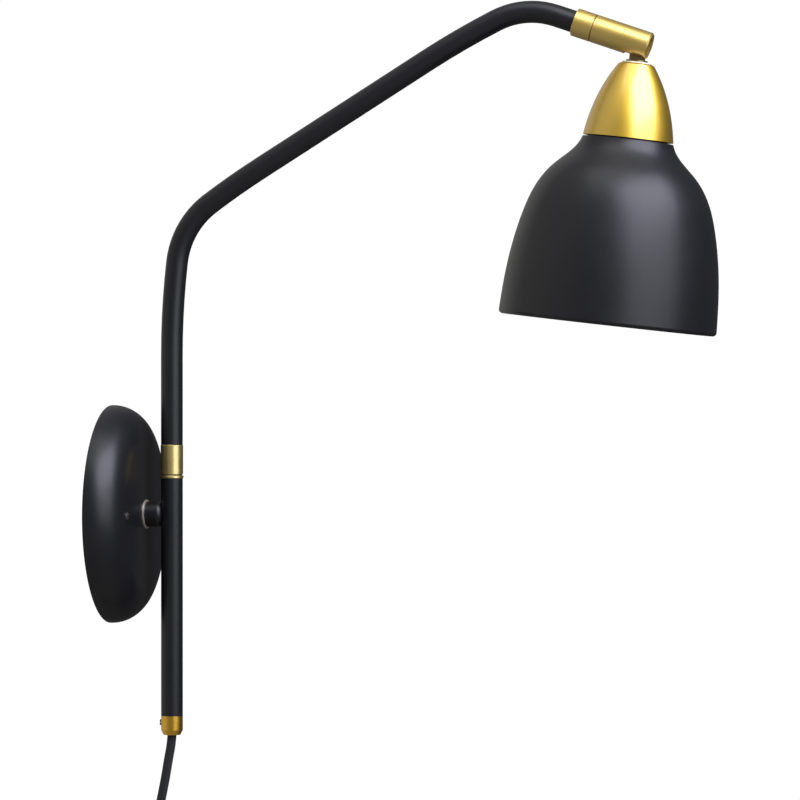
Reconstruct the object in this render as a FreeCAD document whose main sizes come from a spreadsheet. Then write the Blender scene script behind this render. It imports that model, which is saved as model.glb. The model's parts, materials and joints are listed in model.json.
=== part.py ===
import FreeCAD, Part
import math
import os
import Sketcher

# A wall light with a swinging arm. The origin is the centre of the wall bracket on the wall's
# surface: +Z is up, the wall lies behind at +Y, and the arm reaches out along -Y in the plane X = 0.
# All lengths are millimetres and all angles degrees.

Vector = FreeCAD.Vector
Rotation = FreeCAD.Rotation
Placement = FreeCAD.Placement

DIMENSIONS = {
    # wall bracket, a strap of sheet steel
    "bracket_sheet": 2.0,
    "bracket_width": 20.0,
    "bracket_tab_reach": 8.0,
    "bracket_headroom": 2.2,
    "bracket_bend": 1.5,
    "wall_screw_spacing": 40.0,
    "wall_screw_hole": 4.8,
    # canopy, a spun pan that hides the bracket
    "canopy_diameter": 135.0,
    "canopy_depth": 21.7,
    "canopy_rim": 0.7,
    "canopy_sheet": 1.0,
    "canopy_screw_inset": 22.5,
    "canopy_screw_diameter": 3.0,
    "canopy_screw_length": 8.0,
    "canopy_screw_head": 5.2,
    "canopy_screw_dome": 1.5,
    "canopy_screw_slot": 0.8,
    "canopy_screw_slot_depth": 0.8,
    "screw_hole_clearance": 0.4,
    # stub that holds the stem off the canopy
    "stem_from_wall": 38.2,
    "stub_diameter": 15.3,
    "stub_saddle_depth": 1.35,
    "stub_rounding": 3.0,
    "stub_washer_diameter": 18.0,
    "stub_washer_thickness": 0.7,
    "stub_bolt_diameter": 6.0,
    "stub_bolt_past_nut": 2.6,
    "lock_washer_thickness": 1.1,
    "lock_washer_diameter": 11.0,
    "stub_nut_flats": 10.0,
    "stub_nut_thickness": 5.0,
    # stem and arm tube
    "tube_diameter": 13.5,
    "tube_wall": 1.25,
    "spigot_clearance": 0.05,
    "running_clearance": 0.05,
    "stem_top": 22.3,
    "stem_bottom": -124.6,
    # end cap and cord grip
    "end_cap_length": 11.7,
    "end_cap_spigot": 8.0,
    "end_cap_chamfer_height": 3.0,
    "end_cap_mouth": 10.5,
    "grip_screw_up": 7.6,
    "grip_screw_diameter": 3.0,
    "grip_screw_head": 4.0,
    "grip_screw_proud": 0.7,
    "grip_screw_recess": 0.5,
    "grip_screw_slot": 0.6,
    # swivel between stem and arm
    "lip_diameter": 14.4,
    "lip_height": 1.7,
    "swivel_spigot": 11.8,
    "swivel_washer_diameter": 12.8,
    "swivel_gap": 0.7,
    "sleeve_diameter": 13.9,
    "sleeve_height": 18.3,
    "sleeve_spigot": 11.0,
    "sleeve_bore": 6.2,
    "journal_diameter": 8.0,
    "swivel_spring_thickness": 1.0,
    "swivel_nut_diameter": 10.4,
    "swivel_nut_height": 5.0,
    "swivel_nut_flats": 9.2,
    "edge_break": 0.3,
    # arm, as the tube bender sets it: straight, ease, bend, ease, straight, ease, bend, straight
    "arm_rise": 55.3,
    "ease_radius": 500.0,
    "first_ease": 6.6,
    "first_bend": 47.3,
    "first_bend_radius": 52.0,
    "second_ease": 4.4,
    "arm_run": 123.6,
    "third_ease": 5.6,
    "second_bend": 45.1,
    "second_bend_radius": 48.4,
    "arm_tip": 12.4,
    # barrel joint at the arm's tip
    "barrel_diameter": 17.2,
    "collar_length": 12.0,
    "collar_bore_depth": 1.4,
    "collar_spigot_clearance": 0.4,
    "barrel_washer_inset": 0.7,
    "barrel_gap": 0.4,
    "barrel_length": 36.0,
    "barrel_end_chamfer": 0.8,
    "barrel_bolt_diameter": 6.8,
    "barrel_bolt_bore": 4.6,
    "barrel_bolt_seat": 16.6,
    "barrel_bolt_head": 7.6,
    "barrel_bolt_head_height": 3.0,
    "head_clearance": 0.15,
    "lead_reach": 1.0,
    "slot_depth": 14.0,
    "slot_width": 8.0,
    "slot_above_axis": 5.0,
    "pivot_from_end": 7.0,
    "hinge_screw_diameter": 3.0,
    "hinge_screw_head": 5.4,
    "hinge_screw_head_height": 2.0,
    "hinge_screw_reach": 6.4,
    "hinge_screw_sunk": 1.0,
    "hinge_screw_slot": 0.7,
    "drive_slot_depth": 0.8,
    "hinge_washer_inset": 0.3,
    # knuckle that the lamp head hangs from
    "head_tilt": 6.5,
    "eye_width": 8.6,
    "eye_thickness": 7.4,
    "knuckle_flange_diameter": 13.2,
    "knuckle_flange_thickness": 1.1,
    "head_washer_diameter": 17.2,
    "head_washer_thickness": 0.7,
    "pivot_to_cone": 12.2,
    "nipple_diameter": 10.0,
    "nipple_length": 10.5,
    "wire_bore": 4.6,
    "wire_window_width": 3.8,
    "wire_window_top": 2.2,
    "lead_diameter": 1.9,
    "lead_spacing": 2.1,
    "lead_clearance": 0.6,
    # brass cone over the lampholder
    "cone_sheet": 0.9,
    "cone_top_diameter": 18.4,
    "cone_shoulder_diameter": 21.8,
    "cone_shoulder_drop": 0.9,
    "cone_upper_diameter": 34.8,
    "cone_upper_drop": 12.0,
    "cone_middle_diameter": 44.8,
    "cone_middle_drop": 24.0,
    "cone_bottom_diameter": 55.0,
    "cone_height": 45.8,
    # lampholder for an E27 lamp
    "holder_cap_diameter": 38.4,
    "holder_cap_height": 28.5,
    "holder_cap_skirt": 4.0,
    "holder_cap_collar": 3.0,
    "holder_cap_clearance": 0.2,
    "holder_wall": 1.8,
    "holder_skirt_diameter": 39.4,
    "holder_skirt_wall": 2.2,
    "holder_skirt_end": 61.0,
    "holder_step": 1.5,
    "holder_step_height": 3.0,
    "holder_flange_diameter": 47.0,
    "holder_flange_thickness": 2.0,
    "contact_block_thickness": 6.0,
    "screw_shell_diameter": 27.6,
    "screw_shell_sheet": 0.5,
    "screw_shell_length": 22.0,
    "centre_contact_diameter": 8.0,
    "centre_contact_height": 2.0,
    "shade_ring_diameter": 48.0,
    "shade_ring_height": 7.0,
    "shade_ring_flutes": 24,
    "shade_ring_flute_depth": 0.8,
    "shade_ring_flute_radius": 1.4,
    "shade_ring_flange": 2.0,
    # bell shade
    "shade_sheet": 1.0,
    "shade_gap": 0.9,
    "shade_height": 112.3,
    "shade_neck_hole": 39.8,
    "shade_top_diameter": 55.6,
    "shade_neck_diameter": 61.0,
    "shade_neck_drop": 5.9,
    "shade_flare_diameter": 71.4,
    "shade_flare_drop": 11.7,
    "shade_shoulder_diameter": 87.6,
    "shade_shoulder_drop": 19.5,
    "shade_bell_diameter": 103.8,
    "shade_bell_drop": 31.2,
    "shade_waist_diameter": 117.6,
    "shade_waist_drop": 50.6,
    "shade_skirt_diameter": 128.4,
    "shade_skirt_drop": 79.8,
    "shade_rim_diameter": 132.6,
    "shade_rim_curl": 2.4,
    "shade_top_rounding": 0.6,
    # lamp bulb
    "bulb_cap_diameter": 26.2,
    "bulb_cap_length": 25.0,
    "bulb_contact_height": 1.5,
    "bulb_insulator_height": 2.5,
    "bulb_neck_diameter": 29.0,
    "bulb_diameter": 60.0,
    "bulb_glass": 1.0,
    "bulb_length": 104.0,
    "bulb_neck_swell": 1.6,
    "bulb_neck_length": 8.0,
    "bulb_shoulder_diameter": 56.4,
    "bulb_shoulder_height": 15.0,
    # mains cord
    "cord_diameter": 5.8,
    "flex_clearance": 0.2,
    # switch on the cord
    "switch_width": 24.0,
    "switch_thickness": 17.0,
    "switch_rounding": 4.0,
    "switch_wall": 1.8,
    "rocker_length": 12.2,
    "rocker_width": 9.4,
    "rocker_pivot_depth": 3.0,
    "rocker_pin": 2.0,
    "rocker_tilt": 8.0,
    "rocker_clearance": 0.4,
    "rocker_lip": 1.2,
    "rocker_waist": 0.4,
    "rocker_end_drop": 1.0,
    # coil of put-away cord
    "coil_inner_radius": 25.0,
    "coil_pitch": 6.4,
    "coil_layer_step": 6.4,
    "coil_turns_per_layer": 2.03,
    "coil_layers": 4,
    "coil_from_wall": 8.6,
    "coil_below_origin": 318.0,
    "tie_width": 8.0,
    "tie_thickness": 1.2,
    "tie_clearance": 0.3,
    # plug
    "plug_body_length": 27.0,
    "plug_body_width": 32.0,
    "plug_body_thickness": 13.6,
    "plug_shoulder": 9.0,
    "plug_pin_spacing": 19.0,
    "plug_pin_diameter": 4.0,
    "plug_pin_length": 19.0,
    "plug_pin_inset": 8.0,
    "plug_corner": 2.5,
    "plug_neck_step": 2.5,
    "relief_length": 22.0,
    "relief_diameter": 8.8,
    "relief_cord_wall": 0.7,
}


class Size:
    """A number together with the spreadsheet expression that gives it."""

    def __init__(self, value, text):
        self.value = float(value)
        self.text = text

    def combine(self, other, sign, value):
        return Size(value, "(" + self.text + " " + sign + " " + as_size(other).text + ")")

    def __add__(self, other):
        return self.combine(other, "+", self.value + float(other))

    def __sub__(self, other):
        return self.combine(other, "-", self.value - float(other))

    def __mul__(self, other):
        return self.combine(other, "*", self.value * float(other))

    def __truediv__(self, other):
        return self.combine(other, "/", self.value / float(other))

    def __neg__(self):
        return Size(-self.value, "(-" + self.text + ")")

    def __float__(self):
        return self.value


class Dimensions:
    """Gives each cell of the sheet as a Size, by its alias."""

    def __getattr__(self, alias):
        return Size(DIMENSIONS[alias], "Sizes." + alias)


def as_size(number):
    if isinstance(number, Size):
        return number
    return Size(number, repr(float(number)))


doc = FreeCAD.newDocument("WallLight")
sheet = doc.addObject("Spreadsheet::Sheet", "Sizes")
for row, (alias, number) in enumerate(DIMENSIONS.items(), 1):
    sheet.set("A%d" % row, alias)
    sheet.set("B%d" % row, str(number))
    sheet.setAlias("B%d" % row, alias)
doc.recompute()
d = Dimensions()
subparts = []


# ---------------------------------------------------------------- sketching and shaping


def bind(thing, prop, size):
    """Sets a property to a size, and ties it to the sheet where the size comes from there."""
    size = as_size(size)
    if prop.startswith("Constraints"):
        thing.setDatum(int(prop[12:-1]), size.value)
    else:
        setattr(thing, prop, size.value)
    if "Sizes." in size.text:
        thing.setExpression(prop, size.text)


def plane_of(body, role):
    return next(feature for feature in body.Origin.OriginFeatures if feature.Role == role)


def sketch_in(body, role, name, height=0):
    sketch = body.newObject("Sketcher::SketchObject", name)
    sketch.AttachmentSupport = [(plane_of(body, role), "")]
    sketch.MapMode = "FlatFace"
    if float(height):
        sketch.AttachmentOffset = Placement(Vector(0, 0, float(height)), Rotation())
        sketch.setExpression("AttachmentOffset.Base.z", as_size(height).text)
    return sketch


def pin_point(sketch, edge, end, x, y):
    """Fixes one point of a sketch at its distances from the sketch's origin."""
    for kind, size in (("DistanceX", x), ("DistanceY", y)):
        rule = sketch.addConstraint(Sketcher.Constraint(kind, -1, 1, edge, end, float(size)))
        bind(sketch, "Constraints[%d]" % rule, size)


def draw(sketch, steps):
    """Draws a closed outline. A step is a corner (x, y), ("arc", centre, corner) for an arc of
    less than half a turn to that corner, or ("curve", points, corner) for a smooth curve. The
    outline closes with a straight line, unless its last step already ends where it starts."""
    start = last = steps[0]
    final = steps[-1] if len(steps[-1]) == 2 else steps[-1][2]
    closed = all(abs(float(a) - float(b)) < 1e-6 for a, b in zip(start, final))
    following_steps = list(steps[1:]) if closed else list(steps[1:]) + [start]
    ends = []
    for step in following_steps:
        corner = step if len(step) == 2 else step[2]
        a = Vector(float(last[0]), float(last[1]), 0)
        b = Vector(float(corner[0]), float(corner[1]), 0)
        if len(step) == 2:
            edge = sketch.addGeometry(Part.LineSegment(a, b))
            ends.append((edge, 1, 2))
        elif step[0] == "arc":
            centre = Vector(float(step[1][0]), float(step[1][1]), 0)
            turns_left = (a - centre).cross(b - centre).z > 0
            first, second = (a, b) if turns_left else (b, a)
            from_angle = math.atan2(first.y - centre.y, first.x - centre.x)
            to_angle = math.atan2(second.y - centre.y, second.x - centre.x)
            circle = Part.Circle(centre, Vector(0, 0, 1), (a - centre).Length)
            edge = sketch.addGeometry(Part.ArcOfCircle(circle, from_angle, to_angle))
            ends.append((edge, 1, 2) if turns_left else (edge, 2, 1))
            rule = sketch.addConstraint(
                Sketcher.Constraint("DistanceX", -1, 1, edge, 3, centre.x))
            bind(sketch, "Constraints[%d]" % rule, step[1][0])
        else:
            curve = Part.BSplineCurve()
            via = [Vector(float(x), float(y), 0) for x, y in step[1]]
            curve.interpolate([a] + via + [b])
            edge = sketch.addGeometry(curve)
            ends.append((edge, 1, 2))
        last = corner
    corners = [step if len(step) == 2 else step[2] for step in following_steps]
    for index, (edge, _, end) in enumerate(ends):
        following, begin, _ = ends[(index + 1) % len(ends)]
        sketch.addConstraint(Sketcher.Constraint("Coincident", edge, end, following, begin))
        pin_point(sketch, edge, end, *corners[index])


def circle_in(sketch, radius, x=0, y=0):
    edge = sketch.addGeometry(Part.Circle(Vector(float(x), float(y), 0), Vector(0, 0, 1), float(radius)))
    rule = sketch.addConstraint(Sketcher.Constraint("Radius", edge, float(radius)))
    bind(sketch, "Constraints[%d]" % rule, radius)
    pin_point(sketch, edge, 3, x, y)


def turned(name, steps):
    """A body turned about its own Z axis from an outline of (radius, height) steps."""
    body = doc.addObject("PartDesign::Body", name)
    sketch = sketch_in(body, "XZ_Plane", name + "_outline")
    draw(sketch, steps)
    turn = body.newObject("PartDesign::Revolution", name + "_turn")
    turn.Profile = (sketch, [""])
    turn.ReferenceAxis = (sketch, ["V_Axis"])
    turn.Angle = 360
    return body


def ring(name, bore, diameter, bottom, top):
    """A turned tube, disc or washer between two heights."""
    inner, outer = as_size(bore) / 2, as_size(diameter) / 2
    return turned(name, [(inner, bottom), (outer, bottom), (outer, top), (inner, top)])


def padded(name, role, steps, length, height=0):
    """A body padded from an outline: half each side of its plane, or from a height along the normal."""
    body = doc.addObject("PartDesign::Body", name)
    sketch = sketch_in(body, role, name + "_outline", height)
    draw(sketch, steps)
    pad = body.newObject("PartDesign::Pad", name + "_pad")
    pad.Profile = (sketch, [""])
    bind(pad, "Length", length)
    if not float(height):
        pad.SideType = "Symmetric"
    return body


def rod(name, diameter, start, direction, length):
    """A plain cylinder from a point, along a direction."""
    cylinder = doc.addObject("Part::Cylinder", name)
    bind(cylinder, "Radius", as_size(diameter) / 2)
    bind(cylinder, "Height", length)
    point = Vector(*[float(value) for value in start])
    cylinder.Placement = Placement(point, Rotation(Vector(0, 0, 1), Vector(*direction)))
    return cylinder


def block(name, corner, sizes):
    """A plain box from its lowest corner."""
    box = doc.addObject("Part::Box", name)
    for prop, size in zip(("Length", "Width", "Height"), sizes):
        bind(box, prop, size)
    box.Placement = Placement(Vector(*[float(value) for value in corner]), Rotation())
    return box


def less(name, base, *tools):
    """The base with each tool cut away."""
    cutter = tools[0]
    if len(tools) > 1:
        cutter = doc.addObject("Part::MultiFuse", name + "_tools")
        cutter.Shapes = list(tools)
    cut = doc.addObject("Part::Cut", name + "_cut")
    cut.Base = base
    cut.Tool = cutter
    return cut


def together(name, *pieces):
    joined = doc.addObject("Part::MultiFuse", name + "_joined")
    joined.Shapes = list(pieces)
    return joined


def group(name, *pieces):
    """Like pieces that share one node as separate solids."""
    pair = doc.addObject("Part::Compound", name + "_group")
    pair.Links = list(pieces)
    return pair


def keep(name, thing, placement=Placement()):
    """Names a finished sub-part and sets it in its place."""
    thing.Label = name
    thing.Placement = placement
    subparts.append(thing)
    return thing


def solid_of(name, shape):
    """A free-form sub-part whose shape no single feature gives."""
    feature = doc.addObject("Part::Feature", name)
    feature.Shape = shape
    return feature


# ---------------------------------------------------------------- wall bracket, canopy and stub
# Drawn with Z as the distance from the wall, then turned to face along -Y.

OUT_OF_WALL = Placement(Vector(0, 0, 0), Rotation(Vector(1, 0, 0), 90))
UP = (0, 0, 1)
ACROSS = (1, 0, 0)
UPWARDS_ON_WALL = (0, 1, 0)
PAST = 1.0  # how far a cutting tool runs past the face that it cuts through
canopy_screw_place = d.canopy_diameter / 2 - d.canopy_screw_inset


def with_mirror(steps):
    """An outline's right half, followed by the same half mirrored in the vertical axis."""
    corners = [step if len(step) == 2 else step[2] for step in steps]
    centres = [None if len(step) == 2 else step[1] for step in steps[1:]] + [None]
    whole = list(steps)
    for (x, y), centre in zip(reversed(corners), reversed(centres)):
        whole.append((-x, y) if centre is None else ("arc", (-centre[0], centre[1]), (-x, y)))
    return whole


def wall_bracket():
    """A steel strap: its seat lies on the wall, and its raised ends take the canopy screws."""
    end, seat = canopy_screw_place + d.bracket_tab_reach, canopy_screw_place - d.bracket_tab_reach
    top = d.canopy_depth - d.canopy_sheet - d.bracket_headroom
    sheet_top = top - d.bracket_sheet
    leg = seat - d.bracket_sheet
    bend = d.bracket_bend
    outer_bend = bend + d.bracket_sheet
    strap = padded("bracket_strap", "XZ_Plane", with_mirror([
        (seat - outer_bend, 0),
        ("arc", (seat - outer_bend, outer_bend), (seat, outer_bend)),
        (seat, sheet_top - bend),
        ("arc", (seat + bend, sheet_top - bend), (seat + bend, sheet_top)),
        (end, sheet_top),
        (end, top),
        (seat + bend, top),
        ("arc", (seat + bend, sheet_top - bend), (leg, sheet_top - bend)),
        (leg, outer_bend),
        ("arc", (seat - outer_bend, outer_bend), (seat - outer_bend, d.bracket_sheet)),
    ]), d.bracket_width)
    tools = []
    for side in (-1, 1):
        tools.append(rod("wall_hole", d.wall_screw_hole, (d.wall_screw_spacing / 2 * side, 0, -PAST), UP,
                         d.bracket_sheet + PAST * 2))
        tools.append(rod("tab_hole", d.canopy_screw_diameter,
                         (canopy_screw_place * side, 0, sheet_top - PAST), UP, d.bracket_sheet + PAST * 2))
    keep("wall_bracket", less("wall_bracket", strap, *tools), OUT_OF_WALL)


def canopy():
    """A spun pan with a flat face and a wide round shoulder, open to the wall."""
    outer, rim = d.canopy_diameter / 2, d.canopy_rim
    shoulder = d.canopy_depth - rim
    inner_shoulder = shoulder - d.canopy_sheet
    face = outer - shoulder
    inside = d.canopy_depth - d.canopy_sheet
    hole = (d.stub_bolt_diameter + d.screw_hole_clearance) / 2
    pan = turned("canopy_pan", [
        (outer, 0),
        (outer, rim),
        ("arc", (face, rim), (face, d.canopy_depth)),
        (hole, d.canopy_depth),
        (hole, inside),
        (face, inside),
        ("arc", (face, rim), (face + inner_shoulder, rim)),
        (outer - d.canopy_sheet, 0),
    ])
    holes = [rod("canopy_screw_hole", d.canopy_screw_diameter + d.screw_hole_clearance,
                 (canopy_screw_place * side, 0, rim), UP, d.canopy_depth) for side in (-1, 1)]
    keep("canopy", less("canopy", pan, *holes), OUT_OF_WALL)


def canopy_screws():
    """Two domed screws, left and right, that pull the canopy onto the bracket."""
    shank, head = d.canopy_screw_diameter / 2, d.canopy_screw_head / 2
    seat = d.canopy_depth
    top = seat + d.canopy_screw_dome
    edge = seat + d.canopy_screw_dome / 3
    screws = []
    for side in (-1, 1):
        blank = turned("canopy_screw_blank", [
            (0, seat - d.canopy_screw_length),
            (shank, seat - d.canopy_screw_length),
            (shank, seat),
            (head, seat),
            (head, edge),
            (head * 0.62, top - d.canopy_screw_dome * 0.12),
            (head * 0.3, top),
            (0, top),
        ])
        width, depth = d.canopy_screw_slot, d.canopy_screw_slot_depth
        slots = [block("canopy_screw_slot", (-head, -width / 2, top - depth), (head * 2, width, depth * 2)),
                 block("canopy_screw_cross", (-width / 2, -head, top - depth), (width, head * 2, depth * 2))]
        screw = less("canopy_screw", blank, *slots)
        screw.Placement = Placement(Vector(float(canopy_screw_place) * side, 0, 0), Rotation())
        screws.append(screw)
    keep("canopy_screws", group("canopy_screws", *screws), OUT_OF_WALL)


def stub():
    """The black spacer between canopy and stem, with its bright washer, bolt, lock washer and nut."""
    face = d.canopy_depth
    seat = face + d.stub_washer_thickness
    bolt = d.stub_bolt_diameter
    loose = bolt + d.screw_hole_clearance
    keep("stub_washer", ring("stub_washer", loose, d.stub_washer_diameter, face, seat), OUT_OF_WALL)

    radius, round_off = d.stub_diameter / 2, d.stub_rounding
    stem_surface = d.stem_from_wall - d.tube_diameter / 2
    end = stem_surface + d.stub_saddle_depth
    spacer = turned("stub_spacer", [
        (bolt / 2, seat),
        (radius, seat),
        (radius, end - round_off),
        ("arc", (radius - round_off, end - round_off), (radius - round_off, end)),
        (bolt / 2, end),
    ])
    saddle = rod("stub_saddle", d.tube_diameter, (0, -d.stub_diameter, d.stem_from_wall), UPWARDS_ON_WALL,
                 d.stub_diameter * 2)
    keep("stub", less("stub", spacer, saddle), OUT_OF_WALL)

    inside = face - d.canopy_sheet
    nut_top = inside - d.lock_washer_thickness
    nut_bottom = nut_top - d.stub_nut_thickness
    keep("stub_bolt", ring("stub_bolt", 0, bolt, nut_bottom - d.stub_bolt_past_nut,
                           stem_surface + d.tube_wall), OUT_OF_WALL)
    keep("lock_washer", ring("lock_washer", loose, d.lock_washer_diameter, nut_top, inside), OUT_OF_WALL)
    keep("stub_nut", hex_nut("stub_nut", d.stub_nut_flats, bolt, nut_bottom, d.stub_nut_thickness),
         OUT_OF_WALL)


def hex_nut(name, flats, bore, bottom, thickness):
    """A hexagon nut that stands on a height."""
    across = flats / math.sqrt(3)
    corners = []
    for step in range(6):
        angle = math.radians(60 * step)
        corners.append((across * math.cos(angle), across * math.sin(angle)))
    blank = padded(name + "_hexagon", "XY_Plane", corners, thickness, bottom)
    return less(name, blank, rod(name + "_bore", bore, (0, 0, bottom - PAST), UP, thickness + PAST * 2))


# ---------------------------------------------------------------- stem, end cap and swivel

ON_STEM = Placement(Vector(0, -float(d.stem_from_wall), 0), Rotation())
bore = d.tube_diameter - d.tube_wall * 2
spigot = bore - d.spigot_clearance * 2


def stem():
    """The fixed lower tube, drilled once for the stub's bolt."""
    tube = ring("stem_blank", bore, d.tube_diameter, d.stem_bottom, d.stem_top)
    hole = rod("stem_bolt_hole", d.stub_bolt_diameter, (0, 0, 0), (0, 1, 0), d.tube_diameter)
    keep("stem_tube", less("stem_tube", tube, hole), ON_STEM)


def end_cap():
    """The brass end cap that the cord leaves through, and the screw that grips the cord."""
    radius, passage = d.tube_diameter / 2, (d.cord_diameter + d.flex_clearance) / 2
    bottom = d.stem_bottom - d.end_cap_length
    blank = turned("end_cap_blank", [
        (passage, bottom),
        (d.end_cap_mouth / 2, bottom),
        (radius, bottom + d.end_cap_chamfer_height),
        (radius, d.stem_bottom),
        (spigot / 2, d.stem_bottom),
        (spigot / 2, d.stem_bottom + d.end_cap_spigot),
        (passage, d.stem_bottom + d.end_cap_spigot),
    ])
    height = bottom + d.grip_screw_up
    face = radius - d.grip_screw_recess
    thread = rod("grip_thread", d.grip_screw_diameter, (0, 0, height), (0, 1, 0), radius + PAST)
    spot = rod("grip_spot_face", d.grip_screw_head + d.flex_clearance, (0, face, height), (0, 1, 0), radius)
    keep("end_cap", less("end_cap", blank, thread, spot), ON_STEM)

    tip, top = d.cord_diameter / 2, radius + d.grip_screw_proud
    head, shank = d.grip_screw_head / 2, d.grip_screw_diameter / 2
    screw = turned("cord_grip_screw_blank", [
        (0, tip), (shank, tip), (shank, face), (head, face), (head, top - d.edge_break),
        (head - d.edge_break, top), (0, top),
    ])
    slot = block("cord_grip_slot", (-head, -d.grip_screw_slot / 2, top - d.grip_screw_slot),
                 (head * 2, d.grip_screw_slot, d.grip_screw_slot * 2))
    outwards = Placement(Vector(0, -float(d.stem_from_wall), float(height)), Rotation(Vector(1, 0, 0), -90))
    keep("cord_grip_screw", less("cord_grip_screw", screw, slot), outwards)


def swivel():
    """The brass swivel: a base pressed into the stem, and a sleeve whose journal turns in it."""
    journal = d.journal_diameter / 2
    running = journal + d.running_clearance
    lip_top = d.stem_top + d.lip_height
    sleeve_bottom = lip_top + d.swivel_gap
    sleeve_top = sleeve_bottom + d.sleeve_height
    base_end = d.stem_top - d.swivel_spigot
    lip, rub = d.lip_diameter / 2, d.edge_break
    keep("swivel_base", turned("swivel_base", [
        (running, base_end),
        (spigot / 2, base_end),
        (spigot / 2, d.stem_top),
        (lip - rub, d.stem_top),
        (lip, d.stem_top + rub),
        (lip, lip_top - rub),
        (lip - rub, lip_top),
        (running, lip_top),
    ]), ON_STEM)
    keep("swivel_washer", ring("swivel_washer", running * 2, d.swivel_washer_diameter, lip_top,
                               sleeve_bottom), ON_STEM)

    spring_bottom = base_end - d.swivel_spring_thickness
    nut_bottom = spring_bottom - d.swivel_nut_height
    inner, sleeve = d.sleeve_bore / 2, d.sleeve_diameter / 2
    keep("swivel_sleeve", turned("swivel_sleeve", [
        (inner, nut_bottom),
        (journal, nut_bottom),
        (journal, sleeve_bottom),
        (sleeve - rub, sleeve_bottom),
        (sleeve, sleeve_bottom + rub),
        (sleeve, sleeve_top - rub),
        (sleeve - rub, sleeve_top),
        (spigot / 2, sleeve_top),
        (spigot / 2, sleeve_top + d.sleeve_spigot),
        (inner, sleeve_top + d.sleeve_spigot),
    ]), ON_STEM)
    keep("swivel_spring_washer", ring("swivel_spring_washer", d.journal_diameter, d.swivel_nut_diameter,
                                      spring_bottom, base_end), ON_STEM)
    blank = ring("swivel_nut_blank", d.journal_diameter, d.swivel_nut_diameter, nut_bottom, spring_bottom)
    wide, flat = d.swivel_nut_diameter, d.swivel_nut_flats / 2
    flats = [block("swivel_nut_flat", (-wide, y, nut_bottom - PAST),
                   (wide * 2, wide, d.swivel_nut_height + PAST * 2)) for y in (flat, -flat - wide)]
    keep("swivel_nut", less("swivel_nut", blank, *flats), ON_STEM)
    return nut_bottom, sleeve_top


# ---------------------------------------------------------------- arm tube and its flex


def arm_steps():
    """The bender's table: ("line", length) or ("bend", radius, angle), each bend turning outwards."""
    return [
        ("line", d.arm_rise),
        ("bend", d.ease_radius, d.first_ease),
        ("bend", d.first_bend_radius, d.first_bend),
        ("bend", d.ease_radius, d.second_ease),
        ("line", d.arm_run),
        ("bend", d.ease_radius, d.third_ease),
        ("bend", d.second_bend_radius, d.second_bend),
        ("line", d.arm_tip),
    ]


def walk_arm(steps):
    """Follows the table up from (0, 0): the pieces of the path in the plane (Y, Z), its end and heading."""
    point, heading = Vector(0, 0, 0), math.pi / 2
    pieces = []
    for step in steps:
        if step[0] == "line":
            end = point + Vector(math.cos(heading), math.sin(heading), 0) * float(step[1])
            pieces.append(("line", point, end, step[1]))
        else:
            radius, turn = float(step[1]), math.radians(float(step[2]))
            centre = point + Vector(-math.sin(heading), math.cos(heading), 0) * radius
            start_angle = heading - math.pi / 2
            heading += turn
            end = centre + Vector(math.sin(heading), -math.cos(heading), 0) * radius
            pieces.append(("bend", centre, start_angle, turn, step[1], step[2]))
        point = end
    return pieces, point, heading


def bent_tube(name, diameters, steps):
    """A tube swept along a bender's table, from the body's origin."""
    body = doc.addObject("PartDesign::Body", name)
    path = sketch_in(body, "YZ_Plane", name + "_path")
    count = 0
    for piece in walk_arm(steps)[0]:
        if piece[0] == "line":
            edge = path.addGeometry(Part.LineSegment(piece[1], piece[2]))
            rule = path.addConstraint(Sketcher.Constraint("Distance", edge, float(piece[3])))
            bind(path, "Constraints[%d]" % rule, piece[3])
        else:
            circle = Part.Circle(piece[1], Vector(0, 0, 1), float(piece[4]))
            edge = path.addGeometry(Part.ArcOfCircle(circle, piece[2], piece[2] + piece[3]))
            rule = path.addConstraint(Sketcher.Constraint("Radius", edge, float(piece[4])))
            bind(path, "Constraints[%d]" % rule, piece[4])
        if count:
            path.addConstraint(Sketcher.Constraint("Coincident", edge - 1, 2, edge, 1))
        else:
            pin_point(path, edge, 1, 0, 0)
        count += 1
    section = sketch_in(body, "XY_Plane", name + "_section")
    for diameter in diameters:
        circle_in(section, diameter / 2)
    doc.recompute()
    sweep = body.newObject("PartDesign::AdditivePipe", name + "_sweep")
    sweep.Profile = (section, [""])
    sweep.Spine = (path, ["Edge%d" % number for number in range(1, count + 1)])
    return body


def arm(nut_bottom, sleeve_top):
    """The bent upper tube, and the flex inside stem and arm."""
    at_foot = ON_STEM.multiply(Placement(Vector(0, 0, float(sleeve_top)), Rotation()))
    keep("arm_tube", bent_tube("arm_tube", (d.tube_diameter, bore), arm_steps()), at_foot)

    steps = arm_steps()
    steps[0] = ("line", sleeve_top - nut_bottom + d.arm_rise)
    steps[-1] = ("line", d.arm_tip + d.collar_bore_depth)
    at_nut = ON_STEM.multiply(Placement(Vector(0, 0, float(nut_bottom)), Rotation()))
    keep("arm_flex", bent_tube("arm_flex", (d.cord_diameter,), steps), at_nut)
    cap_bottom = d.stem_bottom - d.end_cap_length
    keep("stem_flex", ring("stem_flex", 0, d.cord_diameter, cap_bottom, nut_bottom), ON_STEM)

    end, heading = walk_arm(arm_steps())[1:]
    tip = at_foot.multVec(Vector(0, end.x, end.y))
    return tip, heading


# ---------------------------------------------------------------- barrel joint
# Drawn with Z along the barrel, from the arm's tip outwards, and the slot opening towards -Y.


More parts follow.
